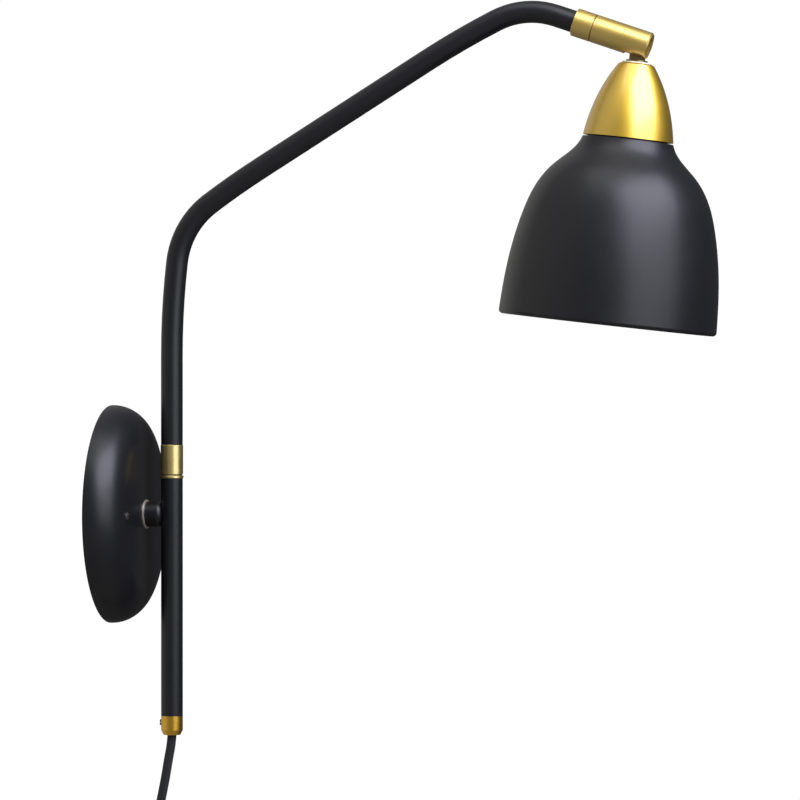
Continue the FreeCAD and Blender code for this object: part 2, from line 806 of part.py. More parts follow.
def barrel_joint(tip, heading):
    """The collar on the arm's tip, and the barrel that turns on a hollow bolt in front of it."""
    along = Placement(tip, Rotation(Vector(1, 0, 0), math.degrees(heading) - 90))
    radius, rub = d.barrel_diameter / 2, d.edge_break
    bolt = d.barrel_bolt_diameter / 2
    sleeve, front = d.sleeve_bore / 2, d.collar_length
    spigot_end = d.collar_spigot_clearance - d.arm_tip
    keep("collar", turned("collar", [
        (sleeve, spigot_end),
        (spigot / 2, spigot_end),
        (spigot / 2, 0),
        (radius - rub, 0),
        (radius, rub),
        (radius, front - rub),
        (radius - rub, front),
        (bolt, front),
        (bolt, d.collar_bore_depth),
        (sleeve, d.collar_bore_depth),
    ]), along)
    start = front + d.barrel_gap
    keep("barrel_washer", ring("barrel_washer", (bolt + d.running_clearance) * 2,
                               (radius - d.barrel_washer_inset) * 2, front, start), along)

    end, chamfer = start + d.barrel_length, d.barrel_end_chamfer
    seat = start + d.barrel_bolt_seat
    running = bolt + d.running_clearance
    pocket = d.barrel_bolt_head / 2 + d.head_clearance
    blank = turned("barrel_blank", [
        (running, start),
        (radius - rub, start),
        (radius, start + rub),
        (radius, end - chamfer),
        (radius - chamfer, end),
        (pocket, end),
        (pocket, seat),
        (running, seat),
    ])
    slot = block("barrel_slot", (-d.slot_width / 2, -radius - PAST, end - d.slot_depth),
                 (d.slot_width, radius + PAST + d.slot_above_axis, d.slot_depth + PAST))
    pivot = end - d.pivot_from_end
    screw, reach = d.hinge_screw_diameter, d.hinge_screw_reach
    head_seat = radius - d.hinge_screw_head_height - d.hinge_screw_sunk
    hole = rod("hinge_hole", screw, (-reach, 0, pivot), ACROSS, reach + radius)
    sunk = rod("hinge_head_recess", d.hinge_screw_head + d.flex_clearance, (head_seat, 0, pivot), ACROSS,
               radius)
    keep("barrel", less("barrel", blank, slot, hole, sunk), along)

    head_end = seat + d.barrel_bolt_head_height
    inner = d.barrel_bolt_bore / 2
    keep("barrel_bolt", turned("barrel_bolt", [
        (inner, d.collar_bore_depth),
        (bolt, d.collar_bore_depth),
        (bolt, seat),
        (d.barrel_bolt_head / 2, seat),
        (d.barrel_bolt_head / 2, head_end),
        (inner, head_end),
    ]), along)

    shank, head = screw / 2, d.hinge_screw_head / 2
    head_top = head_seat + d.hinge_screw_head_height
    pin = turned("hinge_screw_blank", [
        (0, -reach), (shank, -reach), (shank, head_seat), (head, head_seat), (head, head_top), (0, head_top),
    ])
    drive = block("hinge_screw_slot", (-head, -d.hinge_screw_slot / 2, head_top - d.drive_slot_depth),
                  (head * 2, d.hinge_screw_slot, d.drive_slot_depth * 2))
    across = Placement(Vector(0, 0, float(pivot)), Rotation(Vector(0, 1, 0), 90))
    keep("hinge_screw", less("hinge_screw", pin, drive), along.multiply(across))

    leads = [rod("arm_lead", d.lead_diameter, (d.lead_spacing / 2 * side, 0, d.collar_bore_depth), UP,
                 head_end + d.lead_reach - d.collar_bore_depth) for side in (-1, 1)]
    keep("arm_leads", group("arm_leads", *leads), along)
    return along.multVec(Vector(0, 0, float(pivot)))


# ---------------------------------------------------------------- lamp head
# Drawn hanging straight down from the hinge at the origin, then tilted about it.


def knuckle(at_hinge):
    """The brass knuckle: an eye in the barrel's slot, a flange and a hollow threaded nipple."""
    cone_top = -d.pivot_to_cone
    flange_bottom = cone_top + d.head_washer_thickness
    flange_top = flange_bottom + d.knuckle_flange_thickness
    half = d.eye_width / 2
    eye = padded("knuckle_eye", "YZ_Plane", [
        (-half, flange_bottom + d.knuckle_flange_thickness / 2),
        (half, flange_bottom + d.knuckle_flange_thickness / 2),
        (half, 0),
        ("arc", (0, 0), (0, half)),
        ("arc", (0, 0), (-half, 0)),
    ], d.eye_thickness)
    nipple_end = cone_top - d.nipple_length
    wire = d.wire_bore / 2
    stem_part = turned("knuckle_stem", [
        (wire, nipple_end),
        (d.nipple_diameter / 2, nipple_end),
        (d.nipple_diameter / 2, flange_bottom),
        (d.knuckle_flange_diameter / 2, flange_bottom),
        (d.knuckle_flange_diameter / 2, flange_top),
        (wire, flange_top),
    ])
    window_top = -d.wire_window_top
    window = block("knuckle_window", (-d.wire_window_width / 2, 0, flange_top),
                   (d.wire_window_width, half + PAST, window_top - flange_top))
    passage = rod("knuckle_passage", d.wire_bore, (0, 0, nipple_end - PAST), UP,
                  window_top - nipple_end + PAST)
    hole = rod("knuckle_hole", d.hinge_screw_diameter + d.running_clearance * 2,
               (-d.eye_thickness, 0, 0), ACROSS, d.eye_thickness * 2)
    whole = together("knuckle", eye, stem_part)
    keep("knuckle", less("knuckle", whole, window, passage, hole), at_hinge)

    gap = (d.slot_width - d.eye_thickness) / 2
    washers = []
    for start in (d.eye_thickness / 2, -d.eye_thickness / 2 - gap):
        disc = rod("hinge_disc", d.eye_width - d.hinge_washer_inset * 2, (start, 0, 0), ACROSS, gap)
        hole = rod("hinge_disc_hole", d.hinge_screw_diameter + d.flex_clearance, (start - PAST, 0, 0),
                   ACROSS, gap + PAST * 2)
        washers.append(less("hinge_washer", disc, hole))
    keep("hinge_washers", group("hinge_washers", *washers), at_hinge)
    keep("head_washer", ring("head_washer", d.nipple_diameter, d.head_washer_diameter, cone_top,
                             flange_bottom), at_hinge)

    leads = [rod("head_lead", d.lead_diameter, (d.lead_spacing / 2 * side, 0, cone_top - d.holder_cap_height),
                 UP, d.holder_cap_height + d.pivot_to_cone - d.wire_window_top - d.lead_clearance)
             for side in (-1, 1)]
    keep("head_leads", group("head_leads", *leads), at_hinge)


def inward(points, sheet_metal):
    """Points set in from a smooth outline by the sheet's thickness, for its inner face."""
    curve = Part.BSplineCurve()
    curve.interpolate([Vector(float(x), float(y), 0) for x, y in points])
    inner = []
    for x, y in points[:-1]:
        slope = Vector(*curve.tangent(curve.parameter(Vector(float(x), float(y), 0)))[0])
        normal = Vector(slope.y, -slope.x, 0).normalize()
        if normal.x > 0:
            normal = normal * -1
        inner.append((x + as_size(sheet_metal) * normal.x, y + as_size(sheet_metal) * normal.y))
    inner.append((points[-1][0] - sheet_metal, points[-1][1]))
    return inner


def cone(at_hinge):
    """The spun brass cone that hides the lampholder. The nipple passes through its flat top."""
    top = -d.pivot_to_cone
    outside = [
        (d.cone_shoulder_diameter / 2, top - d.cone_shoulder_drop),
        (d.cone_upper_diameter / 2, top - d.cone_upper_drop),
        (d.cone_middle_diameter / 2, top - d.cone_middle_drop),
        (d.cone_bottom_diameter / 2, top - d.cone_height),
    ]
    inside = inward(outside, d.cone_sheet)
    under = top - d.cone_sheet
    inside[0] = (d.cone_shoulder_diameter / 2 - d.cone_sheet, under - d.cone_shoulder_drop)
    keep("cone", turned("cone", [
        (d.nipple_diameter / 2, top),
        (d.cone_top_diameter / 2, top),
        outside[0],
        ("curve", outside[1:-1], outside[-1]),
        inside[-1],
        ("curve", inside[-2:0:-1], inside[0]),
        (d.cone_top_diameter / 2 - d.cone_sheet, under),
        (d.nipple_diameter / 2, under),
    ]), at_hinge)


def lampholder(at_hinge):
    """The E27 lampholder inside cone and shade, with its contacts and the ring that clamps the shade."""
    under_cone = -d.pivot_to_cone - d.cone_sheet
    nipple, wall = d.nipple_diameter / 2, d.holder_wall
    cap_radius = d.holder_cap_diameter / 2
    cap_end = under_cone - d.holder_cap_height
    slope_end = cap_end + d.holder_cap_skirt
    shoulder = d.cone_top_diameter / 2 - d.cone_sheet - d.holder_cap_clearance
    collar_end = under_cone - d.holder_cap_collar
    keep("holder_cap", turned("holder_cap", [
        (nipple, under_cone),
        (shoulder, under_cone),
        (shoulder, collar_end),
        (cap_radius, slope_end),
        (cap_radius, cap_end),
        (cap_radius - wall, cap_end),
        (cap_radius - wall, slope_end),
        (nipple + wall, collar_end - wall),
        (nipple, collar_end - wall),
    ]), at_hinge)

    skirt, flange = d.holder_skirt_diameter / 2, d.holder_flange_diameter / 2
    skirt_end = -d.pivot_to_cone - d.holder_skirt_end
    neck_plate = -d.pivot_to_cone - d.cone_height - d.shade_gap
    inner = skirt - d.holder_skirt_wall
    plug_in = cap_radius - wall
    block_radius = plug_in - d.holder_step
    step_end = cap_end + d.holder_step_height
    block_bottom = cap_end - d.contact_block_thickness
    keep("holder_body", turned("holder_body", [
        (inner, block_bottom),
        (block_radius, block_bottom),
        (block_radius, step_end),
        (plug_in, step_end),
        (plug_in, cap_end),
        (skirt, cap_end),
        (skirt, neck_plate + d.holder_flange_thickness),
        (flange, neck_plate + d.holder_flange_thickness),
        (flange, neck_plate),
        (skirt, neck_plate),
        (skirt, skirt_end),
        (inner, skirt_end),
    ]), at_hinge)
    keep("contact_block", ring("contact_block", 0, block_radius * 2, block_bottom, cap_end), at_hinge)
    contact_end = block_bottom - d.centre_contact_height
    keep("centre_contact", ring("centre_contact", 0, d.centre_contact_diameter, contact_end, block_bottom),
         at_hinge)
    shell = d.screw_shell_diameter
    keep("screw_shell", ring("screw_shell", shell - d.screw_shell_sheet * 2, shell,
                             block_bottom - d.screw_shell_length, block_bottom), at_hinge)

    plate_under = neck_plate - d.shade_sheet
    ring_end = plate_under - d.shade_ring_height
    nut = ring("shade_ring_blank", d.holder_skirt_diameter, d.shade_ring_diameter, ring_end, plate_under)
    reach = d.shade_ring_diameter / 2 + d.shade_ring_flute_radius - d.shade_ring_flute_depth
    flutes = []
    for step in range(int(DIMENSIONS["shade_ring_flutes"])):
        angle = 2 * math.pi * step / DIMENSIONS["shade_ring_flutes"]
        flutes.append(rod("shade_ring_flute", d.shade_ring_flute_radius * 2,
                          (reach * math.cos(angle), reach * math.sin(angle), ring_end - PAST), UP,
                          d.shade_ring_height - d.shade_ring_flange + PAST))
    keep("shade_ring", less("shade_ring", nut, *flutes), at_hinge)
    return contact_end, neck_plate


def shade(at_hinge, neck_plate):
    """The spun steel bell, with its rim curled in. Its flat neck plate is clamped on the lampholder."""
    top, rounding, curl = neck_plate, d.shade_top_rounding, d.shade_rim_curl
    top_radius, rim_radius = d.shade_top_diameter / 2, d.shade_rim_diameter / 2
    outside = [
        (top_radius, top - rounding),
        (d.shade_neck_diameter / 2, top - d.shade_neck_drop),
        (d.shade_flare_diameter / 2, top - d.shade_flare_drop),
        (d.shade_shoulder_diameter / 2, top - d.shade_shoulder_drop),
        (d.shade_bell_diameter / 2, top - d.shade_bell_drop),
        (d.shade_waist_diameter / 2, top - d.shade_waist_drop),
        (d.shade_skirt_diameter / 2, top - d.shade_skirt_drop),
        (rim_radius, top - d.shade_height + curl),
    ]
    inside = inward(outside, d.shade_sheet)
    under = top - d.shade_sheet
    inside[0] = (top_radius - d.shade_sheet, under - rounding)
    curl_centre = (rim_radius - curl, top - d.shade_height + curl)
    keep("shade", turned("shade", [
        (d.shade_neck_hole / 2, top),
        (top_radius - rounding, top),
        ("arc", (top_radius - rounding, top - rounding), outside[0]),
        ("curve", outside[1:-1], outside[-1]),
        ("arc", curl_centre, (rim_radius - curl, top - d.shade_height)),
        (rim_radius - curl, top - d.shade_height + d.shade_sheet),
        ("arc", curl_centre, inside[-1]),
        ("curve", inside[-2:0:-1], inside[0]),
        (inside[0][0] - rounding, under),
        (d.shade_neck_hole / 2, under),
    ]), at_hinge)


def bulb(at_hinge, contact_end):
    """The lamp in the holder: a screw cap and an opal glass envelope."""
    cap, neck = d.bulb_cap_diameter / 2, d.bulb_neck_diameter / 2
    cap_bottom = contact_end - d.bulb_cap_length
    tip = d.centre_contact_diameter / 2
    tip_end = contact_end - d.bulb_contact_height
    keep("bulb_cap", turned("bulb_cap", [
        (0, contact_end),
        (tip, contact_end),
        (tip, tip_end),
        (cap, tip_end - d.bulb_insulator_height),
        (cap, cap_bottom),
        (0, cap_bottom),
    ]), at_hinge)
    ball, glass = d.bulb_diameter / 2, d.bulb_glass
    end = contact_end - d.bulb_length
    centre = end + ball
    outside = [
        (neck, cap_bottom),
        (neck + d.bulb_neck_swell, cap_bottom - d.bulb_neck_length),
        (d.bulb_shoulder_diameter / 2, centre + d.bulb_shoulder_height),
        (ball, centre),
    ]
    inside = inward(outside, glass)
    inside[0] = (neck - glass, cap_bottom)
    keep("bulb_glass", turned("bulb_glass", [
        outside[0],
        ("curve", outside[1:-1], outside[-1]),
        ("arc", (0, centre), (0, end)),
        (0, end + glass),
        ("arc", (0, centre), inside[-1]),
        ("curve", inside[-2:0:-1], inside[0]),
    ]), at_hinge)


# ---------------------------------------------------------------- mains cord, switch, coil and plug


def tangent_arc(start, corner, end):
    """The arc that leaves start towards a corner and arrives at end from it, and its radius."""
    turn = (corner - start).getAngle(end - corner)
    radius = (corner - start).Length / math.tan(turn / 2)
    inwards = (start + end) * 0.5 - corner
    rise = radius / math.cos(turn / 2) - radius
    return Part.Arc(start, corner + inwards * (rise / inwards.Length), end).toShape(), radius


def corner_path(points):
    """Straight runs joined by tangent arcs, each as large as its two runs allow."""
    edges, radii = [], []
    last = points[0]
    for before, corner, after in zip(points, points[1:], points[2:]):
        to_corner, from_corner = corner - before, after - corner
        cut = 0.45 * min(to_corner.Length, from_corner.Length)
        start = corner - to_corner * (cut / to_corner.Length)
        end = corner + from_corner * (cut / from_corner.Length)
        arc, radius = tangent_arc(start, corner, end)
        edges += [Part.LineSegment(last, start).toShape(), arc]
        radii.append(round(radius, 1))
        last = end
    edges.append(Part.LineSegment(last, points[-1]).toShape())
    return edges, radii


def biarc(start, start_way, end, end_way):
    """Two arcs, tangent to each other, that join two points with given headings."""
    chord = end - start
    a = 2 * (1 - start_way.dot(end_way))
    b = 2 * chord.dot(start_way + end_way)
    reach = (-b + math.sqrt(b * b + 4 * a * chord.dot(chord))) / (2 * a)
    first, second = start + start_way * reach, end - end_way * reach
    join = (first + second) * 0.5
    return [tangent_arc(start, first, join)[0], tangent_arc(join, second, end)[0]]


def cord_tube(name, edges, start, way):
    """A round cord along a chain of tangent edges. Prints its length, and its volume as a check."""
    radius = float(d.cord_diameter) / 2
    section = Part.Wire([Part.Circle(start, way, radius).toShape()])
    tube = Part.Wire(edges).makePipeShell([section], True, False)
    length = sum(edge.Length for edge in edges)
    print("%s: length %.1f, volume %.0f, section times length %.0f"
          % (name, length, tube.Volume, math.pi * radius ** 2 * length))
    keep(name, solid_of(name, tube))


# The cord's route, in millimetres, as points chosen by hand: from the end cap to the switch, from the
# switch to the coil, and from the coil to the plug.
UPPER_CORD = [
    Vector(0, -38.2, -136.3),
    Vector(0, -37.9, -141.5),
    Vector(0, -35.8, -152.5),
    Vector(0, -33.1, -168.5),
    Vector(0, -29.6, -184.2),
]
LOWER_CORD = [
    Vector(0, -18.3, -235.0),
    Vector(0.7, -16.0, -245.5),
    Vector(6.4, -13.4, -259.0),
    Vector(17.0, -11.0, -272.0),
    Vector(27.2, -9.4, -284.6),
    Vector(31.1, -8.7, -292.8),
]
TAIL_CORD = [
    Vector(29.7, -27.8, -345.6),
    Vector(26.2, -27.8, -356.0),
    Vector(24.6, -27.8, -365.8),
    Vector(24.3, -27.8, -372.0),
]
COIL_CENTRE = Vector(0, -float(d.coil_from_wall), -float(d.coil_below_origin))
COIL_ENTRY_ANGLE = 20


def coil_point(turned_so_far):
    """The coil's centreline after so many turns. It winds clockwise as seen from the room, in and
    out again at a steady rate, and climbs a layer in the half turn centred on each reversal."""
    per_layer = float(d.coil_turns_per_layer)
    layers = DIMENSIONS["coil_layers"]
    layer = min(int(turned_so_far / per_layer), layers - 1)
    into_layer = turned_so_far - layer * per_layer
    outwards = into_layer if layer % 2 else per_layer - into_layer
    radius = float(d.coil_inner_radius) + float(d.coil_pitch) * outwards
    climbed = 0
    for reversal in range(1, layers):
        through = turned_so_far - reversal * per_layer + 0.25
        share = min(max(through / 0.5, 0), 1)
        climbed += share * share * (3 - 2 * share)
    angle = math.radians(COIL_ENTRY_ANGLE) - 2 * math.pi * turned_so_far
    step = float(d.coil_layer_step)
    return COIL_CENTRE + Vector(radius * math.cos(angle), -step * climbed, radius * math.sin(angle))


def coil_heading(turned_so_far):
    small = 0.0005
    layer_end = float(d.coil_turns_per_layer) * DIMENSIONS["coil_layers"]
    after = min(turned_so_far + small, layer_end)
    before = max(turned_so_far - small, 0)
    return (coil_point(after) - coil_point(before)).normalize()


def coil():
    """The put-away cord, as one tube on biarcs of a quarter turn, with a straight end each side."""
    layers = DIMENSIONS["coil_layers"]
    turns = float(d.coil_turns_per_layer) * layers
    spans = layers * round(float(d.coil_turns_per_layer) * 4)
    stations = [turns * step / spans for step in range(spans + 1)]
    straight = float(d.cord_diameter)
    entry = coil_point(0) - coil_heading(0) * straight
    leaving = coil_point(turns) + coil_heading(turns) * straight
    edges = [Part.LineSegment(entry, coil_point(0)).toShape()]
    for here, there in zip(stations, stations[1:]):
        edges += biarc(coil_point(here), coil_heading(here), coil_point(there), coil_heading(there))
    edges.append(Part.LineSegment(coil_point(turns), leaving).toShape())
    print("coil from", entry, "to", leaving, "least gap to itself %.2f" % coil_gap(edges))
    cord_tube("cord_coil", edges, entry, coil_heading(0))
    return entry, leaving


def coil_gap(edges):
    """The least gap between two turns, measured between points along the centreline."""
    spacing = 1.2
    points = []
    for edge in edges:
        points += edge.discretize(Number=max(3, int(edge.Length / spacing)))[:-1]
    nearest = 1e9
    own_turn = int(float(d.coil_inner_radius) * 2 / spacing)
    for index, point in enumerate(points):
        for other in points[index + own_turn:]:
            nearest = min(nearest, point.distanceToPoint(other))
    return nearest - float(d.cord_diameter)


def cord():
    """The whole cord below the end cap: its free stretches, its coil and the band round the coil."""
    entry, leaving = coil()
    for name, points in (("cord_upper", UPPER_CORD), ("cord_lower", LOWER_CORD + [entry]),
                         ("cord_tail", [leaving] + TAIL_CORD)):
        edges, radii = corner_path(points)
        print(name, "bend radii", radii)
        cord_tube(name, edges, points[0], points[1] - points[0])


def tie():
    """The rectangular band that holds the coil together at its top."""
    cord_radius = d.cord_diameter / 2
    back = cord_radius + d.tie_clearance
    front = d.coil_layer_step * (DIMENSIONS["coil_layers"] - 1) + back
    outer = d.coil_inner_radius + d.coil_pitch * float(d.coil_turns_per_layer) + back
    inner_surface = float(d.coil_inner_radius - cord_radius)
    sag = inner_surface - math.sqrt(inner_surface ** 2 - (float(d.tie_width) / 2) ** 2)
    inner = d.coil_inner_radius - back - sag
    bands = []
    for grow in (d.tie_thickness, as_size(0)):
        bend = cord_radius + grow
        low, high, near, far = inner - grow, outer + grow, -back - grow, front + grow
        bands.append(padded("tie_band", "YZ_Plane", [
            (-far + bend, low),
            (-near - bend, low),
            ("arc", (-near - bend, low + bend), (-near, low + bend)),
            (-near, high - bend),
            ("arc", (-near - bend, high - bend), (-near - bend, high)),
            (-far + bend, high),
            ("arc", (-far + bend, high - bend), (-far, high - bend)),
            (-far, low + bend),
            ("arc", (-far + bend, low + bend), (-far + bend, low)),
        ], d.tie_width + (0 if float(grow) else PAST * 2)))
    keep("cord_tie", less("cord_tie", *bands), Placement(COIL_CENTRE, Rotation()))


# ---------------------------------------------------------------- inline switch
# Drawn with its length along Z, its back towards the wall, and the cord along its axis.


def rounded_slab(name, width, length, corner, depth, low, high):
    """A slab in the plane of width and length with round corners, from one depth to another."""
    x, z = width / 2, length / 2
    body = doc.addObject("PartDesign::Body", name)
    sketch = sketch_in(body, "XZ_Plane", name + "_outline", -high)
    draw(sketch, [
        (-x + corner, -z), (x - corner, -z), ("arc", (x - corner, -z + corner), (x, -z + corner)),
        (x, z - corner), ("arc", (x - corner, z - corner), (x - corner, z)),
        (-x + corner, z), ("arc", (-x + corner, z - corner), (-x, z - corner)),
        (-x, -z + corner), ("arc", (-x + corner, -z + corner), (-x + corner, -z)),
    ])
    pad = body.newObject("PartDesign::Pad", name + "_pad")
    pad.Profile = (sketch, [""])
    bind(pad, "Length", high - low)
    return body


def inline_switch():
    """A plain switch in the cord: two shell halves, a rocker and the flex that runs through."""
    top, bottom = UPPER_CORD[-1], LOWER_CORD[0]
    length = as_size((top - bottom).Length)
    in_line = Placement((top + bottom) * 0.5, Rotation(Vector(0, 0, 1), top - bottom))
    half, wall = d.switch_thickness / 2, d.switch_wall
    wide = d.switch_width

    def shell(name, low, high, cavity_low, cavity_high):
        outside = rounded_slab(name + "_outside", wide, length, d.switch_rounding, half, low, high)
        inside = rounded_slab(name + "_inside", wide - wall * 2, length - wall * 4,
                              d.switch_rounding - wall, half, cavity_low, cavity_high)
        passage = rod(name + "_passage", d.cord_diameter + d.flex_clearance, (0, 0, -length), UP, length * 2)
        return outside, inside, passage

    outside, inside, passage = shell("switch_base", as_size(0), half, as_size(-PAST), half - wall)
    keep("switch_base", less("switch_base", outside, inside, passage), in_line)

    outside, inside, passage = shell("switch_cover", -half, as_size(0), -half + wall, as_size(PAST))
    pivot = -half + d.rocker_pivot_depth
    gap = d.rocker_clearance
    frame_x, frame_z = d.rocker_width / 2 + gap + wall, d.rocker_length / 2 + gap + wall
    frame_end = -(d.cord_diameter + d.flex_clearance) / 2
    frame = block("rocker_frame", (-frame_x, -half + wall / 2, -frame_z),
                  (frame_x * 2, frame_end + half - wall / 2, frame_z * 2))
    pocket = block("rocker_pocket", (-frame_x + wall, -half - PAST, -frame_z + wall),
                   ((frame_x - wall) * 2, half + PAST * 2, (frame_z - wall) * 2))
    pin_hole = rod("rocker_pin_hole", d.rocker_pin + d.running_clearance * 2, (-frame_x, pivot, 0), ACROSS,
                   frame_x * 2)
    hollow = less("switch_cover_hollow", outside, inside)
    framed = together("switch_cover", hollow, frame)
    keep("switch_cover", less("switch_cover", framed, passage, pocket, pin_hole), in_line)

    length_half, depth = d.rocker_length / 2, d.rocker_pivot_depth
    lip, waist, drop = d.rocker_lip, d.rocker_waist, d.rocker_end_drop
    paddle = padded("rocker_paddle", "YZ_Plane", [
        (depth / 2, -length_half * 0.7),
        (-drop, -length_half),
        (-depth - lip, drop / 2 - length_half),
        (-depth - waist, 0),
        (-depth - lip, length_half - drop / 2),
        (-drop, length_half),
        (depth / 2, length_half * 0.7),
    ], d.rocker_width)
    pin_end = frame_x - d.edge_break
    pin = rod("rocker_pin", d.rocker_pin, (-pin_end, 0, 0), ACROSS, pin_end * 2)
    on_pivot = Placement(Vector(0, float(pivot), 0), Rotation(Vector(1, 0, 0), DIMENSIONS["rocker_tilt"]))
    keep("switch_rocker", together("switch_rocker", paddle, pin), in_line.multiply(on_pivot))
    print("rocker pivot", in_line.multVec(Vector(0, float(pivot), 0)))

    keep("switch_flex", rod("switch_flex", d.cord_diameter, (0, 0, 0), UP, length),
         in_line.multiply(Placement(Vector(0, 0, float(-length / 2)), Rotation())))


# ---------------------------------------------------------------- plug


def plug():
    """A flat two-pin plug that hangs from the tail, with its tapered strain relief."""
    end = TAIL_CORD[-1]
    relief_top, relief_end = as_size(0), -d.relief_length
    neck = d.relief_diameter / 2
    keep("plug_relief", turned("plug_relief", [
        (0, relief_end),
        (neck, relief_end),
        (d.cord_diameter / 2 + d.relief_cord_wall, relief_top),
        (0, relief_top),
    ]), Placement(end, Rotation()))

    bottom, wide = relief_end - d.plug_body_length, d.plug_body_width / 2
    shoulder, corner = relief_end - d.plug_shoulder, d.plug_corner
    body = padded("plug_blank", "XZ_Plane", with_mirror([
        (wide - corner, bottom),
        ("arc", (wide - corner, bottom + corner), (wide, bottom + corner)),
        (wide, shoulder),
        (neck + d.plug_neck_step, relief_end),
    ]), d.plug_body_thickness)
    sockets = [rod("plug_pin_hole", d.plug_pin_diameter, (d.plug_pin_spacing / 2 * side, 0, bottom - PAST),
                   UP, d.plug_pin_inset + PAST) for side in (-1, 1)]
    keep("plug_body", less("plug_body", body, *sockets), Placement(end, Rotation()))

    pins = []
    pin, tip = d.plug_pin_diameter / 2, bottom - d.plug_pin_length
    for side in (-1, 1):
        shaped = turned("plug_pin", [
            (0, tip),
            (pin * 0.5, tip),
            (pin, tip + pin * 0.7),
            (pin, bottom + d.plug_pin_inset),
            (0, bottom + d.plug_pin_inset),
        ])
        shaped.Placement = Placement(Vector(float(d.plug_pin_spacing) / 2 * side, 0, 0), Rotation())
        pins.append(shaped)
    keep("plug_pins", group("plug_pins", *pins), Placement(end, Rotation()))


def finish():
    """Checks every object, and writes each sub-part to its own file."""
    doc.recompute()
    failed = [thing.Name for thing in doc.Objects if "Invalid" in thing.State or "Error" in thing.State]
    for thing in subparts:
        if thing.Shape.isNull() or not thing.Shape.isValid():
            failed.append(thing.Label)
    if failed:
        raise RuntimeError("failed: " + ", ".join(failed))
    os.makedirs("parts", exist_ok=True)
    for thing in subparts:
        thing.Shape.exportStep("parts/" + thing.Label + ".step")
    print(len(subparts), "sub-parts written")


wall_bracket()
canopy()
canopy_screws()
stub()
stem()
end_cap()
nut_bottom, sleeve_top = swivel()
tip, heading = arm(nut_bottom, sleeve_top)
hinge = barrel_joint(tip, heading)
at_hinge = Placement(hinge, Rotation(Vector(1, 0, 0), DIMENSIONS["head_tilt"]))
print("arm tip", tip, "heading", math.degrees(heading), "hinge", hinge)
knuckle(at_hinge)
cone(at_hinge)
contact_end, neck_plate = lampholder(at_hinge)
shade(at_hinge, neck_plate)
bulb(at_hinge, contact_end)
cord()
tie()
inline_switch()
plug()
finish()
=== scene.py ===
import json
import math

import bpy
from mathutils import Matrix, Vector


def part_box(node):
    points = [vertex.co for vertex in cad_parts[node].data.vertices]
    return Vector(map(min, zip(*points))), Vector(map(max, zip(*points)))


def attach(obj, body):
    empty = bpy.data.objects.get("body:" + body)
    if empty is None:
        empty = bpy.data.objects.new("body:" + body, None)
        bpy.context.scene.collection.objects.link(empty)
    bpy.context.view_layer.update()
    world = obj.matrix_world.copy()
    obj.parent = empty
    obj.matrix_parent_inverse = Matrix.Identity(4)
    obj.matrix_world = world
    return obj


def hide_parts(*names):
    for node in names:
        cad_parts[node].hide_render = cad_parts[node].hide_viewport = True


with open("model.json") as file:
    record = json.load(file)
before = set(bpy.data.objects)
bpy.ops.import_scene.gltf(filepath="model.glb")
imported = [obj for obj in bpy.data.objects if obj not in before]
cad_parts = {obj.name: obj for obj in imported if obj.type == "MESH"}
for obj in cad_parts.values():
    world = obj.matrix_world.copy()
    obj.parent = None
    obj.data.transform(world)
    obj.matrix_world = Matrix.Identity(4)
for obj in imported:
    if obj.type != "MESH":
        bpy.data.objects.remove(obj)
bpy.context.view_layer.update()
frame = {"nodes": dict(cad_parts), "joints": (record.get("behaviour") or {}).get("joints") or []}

# ---------------------------------------------------------------- studio
# A wall light photographed from its side against plain white. The camera stands 2.8 m off with a long
# lens, a little in front of the wall's plane, and looks at the middle of the light.
looked_at = Vector((0, -0.1825, 0.0708))
camera_distance = 2.779
camera_angle = math.radians(12.22)
camera_rise = 0.27
sensor_width, focal_length = 36, 204.5


def seen_from(turn, rise):
    """The direction that is so many degrees to the camera's right of it, and so many above it."""
    heading = camera_angle + math.radians(turn)
    lift = math.radians(rise)
    return Vector((-math.cos(heading) * math.cos(lift), -math.sin(heading) * math.cos(lift), math.sin(lift)))


lens = bpy.data.cameras.new("camera")
lens.sensor_width = sensor_width
lens.lens = focal_length
lens.clip_end = 50
camera = bpy.data.objects.new("camera", lens)
to_camera = seen_from(0, camera_rise)
camera.location = looked_at + to_camera * camera_distance
camera.rotation_euler = to_camera.to_track_quat("Z", "Y").to_euler()
bpy.context.scene.collection.objects.link(camera)
bpy.context.scene.camera = camera
bpy.context.scene.view_settings.view_transform = "Standard"
bpy.context.scene.view_settings.look = "None"


def node(tree, kind, settings=None, sockets=None):
    """A shader node with its settings and with values or links on its sockets."""
    made = tree.nodes.new("ShaderNode" + kind)
    for key, value in (settings or {}).items():
        setattr(made, key, value)
    for key, value in (sockets or {}).items():
        if isinstance(value, bpy.types.NodeSocket):
            tree.links.new(value, made.inputs[key])
        else:
            made.inputs[key].default_value = value
    return made


# The white sweep shows as pure white. The light it throws back is weaker than it shows: a dim room
# with a pale wall on the left and behind, less of it from the left in front, and some from below.
shown_brightness, room_brightness = 1.02, 0.07
